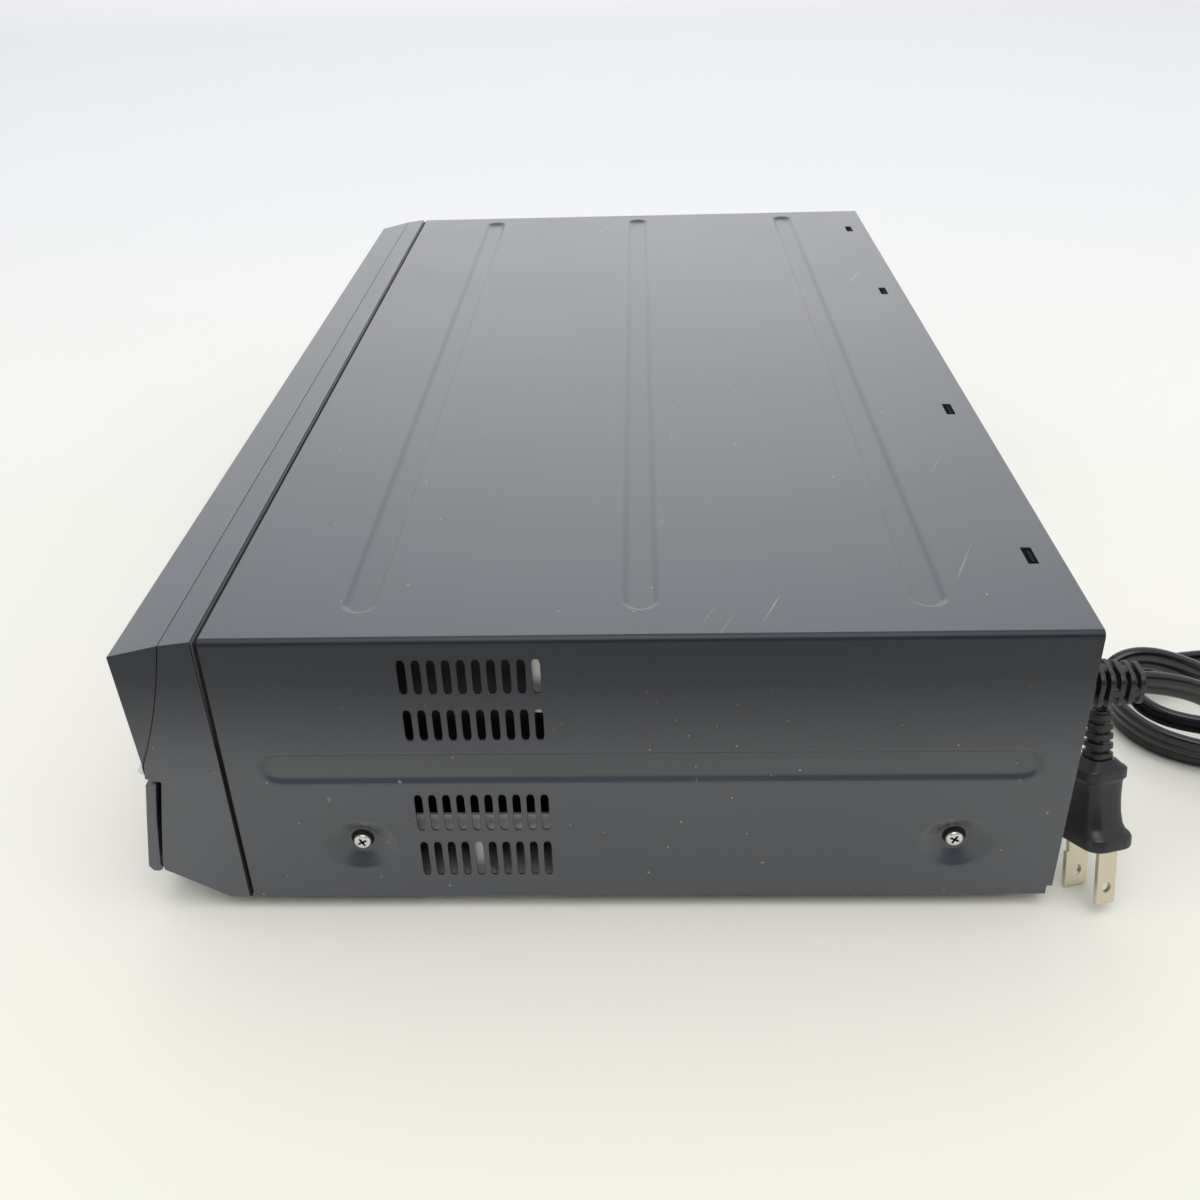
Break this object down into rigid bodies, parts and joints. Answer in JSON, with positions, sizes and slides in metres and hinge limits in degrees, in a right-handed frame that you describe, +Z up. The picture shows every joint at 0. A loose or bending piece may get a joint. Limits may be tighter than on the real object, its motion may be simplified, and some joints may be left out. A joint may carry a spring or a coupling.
{
  "type": "dvd vcr combo player",
  "caption": "Disc player and video cassette recorder in one low steel case, with a sliding disc tray, cassette bay, drop-down front flap and coiled mains cord.",
  "frame": {"origin": "centre of the player's footprint, without the free cord, on the surface that it stands on", "axes": "+X along the width, towards the side with the disc tray; +Y from the front to the rear panel; +Z up"},
  "size_m": [0.4348, 0.4625, 0.0966],
  "materials": {
    "black_steel": "satin, fine textured",
    "zinc_steel": "zinc plated, satin",
    "black_plastic": "satin moulded",
    "silver_trim": "bright silver film",
    "smoked_lens": "polished, dark smoked",
    "black_rubber": "satin moulded",
    "bright_steel": "bright plated",
    "board_green": "satin lacquer",
    "jack_plastic": "gloss",
    "ferrite": "matte",
    "capacitor_sleeve": "gloss sleeve",
    "aluminium": "machined, satin",
    "grey_plastic": "matte moulded",
    "white_plastic": "satin moulded",
    "cord_black": "glossy jacket",
    "blade_brass": "nickel washed, satin"
  },
  "bodies": {
    "case": {"cover": "black_steel", "chassis": "zinc_steel", "rear_panel": "zinc_steel", "fascia": "black_plastic", "brow_panel": "black_plastic", "trim_strip": "silver_trim", "display_window": "smoked_lens", "feet": "black_rubber", "screws": "bright_steel", "front_board": "board_green", "display_tube": "smoked_lens", "front_jacks": "jack_plastic", "main_board": "board_green", "power_board": "board_green", "transformer": "ferrite", "capacitors": "capacitor_sleeve", "heatsinks": "aluminium", "rear_jacks": "jack_plastic", "loader_frame": "grey_plastic", "loading_motor": "bright_steel", "clamp_bridge": "zinc_steel", "deck_plate": "zinc_steel", "drum_lower": "aluminium", "tape_heads": "bright_steel", "carriage_rails": "zinc_steel", "strain_relief": "black_rubber", "cord_lead": "cord_black", "cord_hank": "cord_black", "cord_tail": "cord_black", "plug_body": "black_rubber", "plug_blades": "blade_brass"},
    "flap": {"front_flap": "black_plastic"},
    "door": {"cassette_door": "black_plastic"},
    "power_key": {"power_button": "black_plastic"},
    "tray_key": {"tray_button": "black_plastic"},
    "eject_key": {"eject_button": "black_plastic"},
    "rewind_key": {"rewind_button": "black_plastic"},
    "play_key": {"play_button": "black_plastic"},
    "stop_key": {"stop_button": "black_plastic"},
    "forward_key": {"forward_button": "black_plastic"},
    "tray": {"disc_tray": "black_plastic", "tray_bezel": "black_plastic"},
    "gear": {"tray_gear": "white_plastic"},
    "pinion": {"motor_pinion": "white_plastic"},
    "traverse": {"traverse": "grey_plastic", "sled_rods": "bright_steel"},
    "turntable": {"turntable": "black_plastic"},
    "sled": {"optical_sled": "aluminium", "objective_lens": "black_plastic"},
    "screw": {"lead_screw": "bright_steel"},
    "clamp": {"clamp_disc": "white_plastic"},
    "drum": {"drum_upper": "aluminium"},
    "capstan": {"capstan": "bright_steel"},
    "pinch_arm": {"pinch_arm": "bright_steel"},
    "pinch_roller": {"pinch_roller": "black_rubber"},
    "supply_reel": {"supply_reel": "white_plastic"},
    "takeup_reel": {"takeup_reel": "white_plastic"},
    "supply_guide": {"supply_guide": "bright_steel"},
    "takeup_guide": {"takeup_guide": "bright_steel"},
    "carriage": {"cassette_carriage": "zinc_steel"}
  },
  "joints": [
    {"name": "flap_hinge", "type": "hinge", "parent": "case", "child": "flap", "pos_m": [0, -0.13455, 0.0168], "axis": [1, 0, 0], "range_deg": [0, 90]},
    {"name": "door_hinge", "type": "hinge", "parent": "case", "child": "door", "pos_m": [-0.105, -0.13048, 0.0866], "axis": [1, 0, 0], "range_deg": [0, 88], "stiffness_Nm_per_rad": 0.002, "springref_deg": -17.19},
    {"name": "power_press", "type": "slide", "parent": "case", "child": "power_key", "axis": [0, 1, 0], "range_m": [0, 0.0007], "stiffness_N_per_m": 400, "springref_m": -0.0005},
    {"name": "tray_press", "type": "slide", "parent": "case", "child": "tray_key", "axis": [0, 1, 0], "range_m": [0, 0.0007], "stiffness_N_per_m": 400, "springref_m": -0.0005},
    {"name": "eject_press", "type": "slide", "parent": "case", "child": "eject_key", "axis": [0, 1, 0], "range_m": [0, 0.0007], "stiffness_N_per_m": 400, "springref_m": -0.0005},
    {"name": "rewind_press", "type": "slide", "parent": "case", "child": "rewind_key", "axis": [0, 1, 0], "range_m": [0, 0.0007], "stiffness_N_per_m": 400, "springref_m": -0.0005},
    {"name": "play_press", "type": "slide", "parent": "case", "child": "play_key", "axis": [0, 1, 0], "range_m": [0, 0.0007], "stiffness_N_per_m": 400, "springref_m": -0.0005},
    {"name": "stop_press", "type": "slide", "parent": "case", "child": "stop_key", "axis": [0, 1, 0], "range_m": [0, 0.0007], "stiffness_N_per_m": 400, "springref_m": -0.0005},
    {"name": "forward_press", "type": "slide", "parent": "case", "child": "forward_key", "axis": [0, 1, 0], "range_m": [0, 0.0007], "stiffness_N_per_m": 400, "springref_m": -0.0005},
    {"name": "tray_slide", "type": "slide", "parent": "case", "child": "tray", "axis": [0, -1, 0], "range_m": [0, 0.135]},
    {"name": "gear_spin", "type": "hinge", "parent": "case", "child": "gear", "pos_m": [0.085, -0.09355, 0.067], "axis": [0, 0, 1], "range_deg": [0, 860]},
    {"name": "pinion_spin", "type": "hinge", "parent": "case", "child": "pinion", "pos_m": [0.099, -0.09355, 0.067], "axis": [0, 0, 1], "range_deg": [-1548, 0]},
    {"name": "traverse_lift", "type": "hinge", "parent": "case", "child": "traverse", "pos_m": [0.132, 0.05245, 0.061], "axis": [-1, 0, 0], "range_deg": [0, 5.3]},
    {"name": "turntable_spin", "type": "hinge", "parent": "traverse", "child": "turntable", "pos_m": [0.132, -0.04967, 0.05755], "axis": [0, -0.0924, 0.9957], "continuous": true},
    {"name": "sled_slide", "type": "slide", "parent": "traverse", "child": "sled", "axis": [0, 0.9957, 0.0924], "range_m": [0, 0.034]},
    {"name": "screw_spin", "type": "hinge", "parent": "traverse", "child": "screw", "pos_m": [0.171, -0.00683, 0.05048], "axis": [0, 0.9957, 0.0924], "range_deg": [0, 2041]},
    {"name": "clamp_spin", "type": "hinge", "parent": "case", "child": "clamp", "pos_m": [0.132, -0.04955, 0.085], "axis": [0, 0, 1], "continuous": true},
    {"name": "drum_spin", "type": "hinge", "parent": "case", "child": "drum", "pos_m": [-0.105, 0.05245, 0.0352], "axis": [0, 0.104, 0.9946], "continuous": true},
    {"name": "capstan_spin", "type": "hinge", "parent": "case", "child": "capstan", "pos_m": [-0.053, 0.01745, 0.03], "axis": [0, 0, 1], "continuous": true},
    {"name": "pinch_swing", "type": "hinge", "parent": "case", "child": "pinch_arm", "pos_m": [-0.03, 0.00345, 0.035], "axis": [0, 0, -1], "range_deg": [0, 25]},
    {"name": "roller_spin", "type": "hinge", "parent": "pinch_arm", "child": "pinch_roller", "pos_m": [-0.05425, -0.00305, 0.045], "axis": [0, 0, 1], "continuous": true},
    {"name": "supply_spin", "type": "hinge", "parent": "case", "child": "supply_reel", "pos_m": [-0.15, -0.04755, 0.033], "axis": [0, 0, 1], "continuous": true},
    {"name": "takeup_spin", "type": "hinge", "parent": "case", "child": "takeup_reel", "pos_m": [-0.06, -0.04755, 0.033], "axis": [0, 0, 1], "continuous": true},
    {"name": "supply_thread", "type": "slide", "parent": "case", "child": "supply_guide", "axis": [-0.3584, 0.9336, 0], "range_m": [0, 0.036]},
    {"name": "takeup_thread", "type": "slide", "parent": "case", "child": "takeup_guide", "axis": [0.3584, 0.9336, 0], "range_m": [0, 0.036]},
    {"name": "carriage_lower", "type": "slide", "parent": "case", "child": "carriage", "axis": [0, 0, -1], "range_m": [0, 0.0223]}
  ],
  "couplings": [
    {"joint": "gear_spin", "follows": "tray_slide", "rad_per_m": 111.11},
    {"joint": "pinion_spin", "follows": "tray_slide", "rad_per_m": -200},
    {"joint": "screw_spin", "follows": "sled_slide", "rad_per_m": 1047.2},
    {"joint": "takeup_thread", "follows": "supply_thread", "ratio": 1}
  ]
}
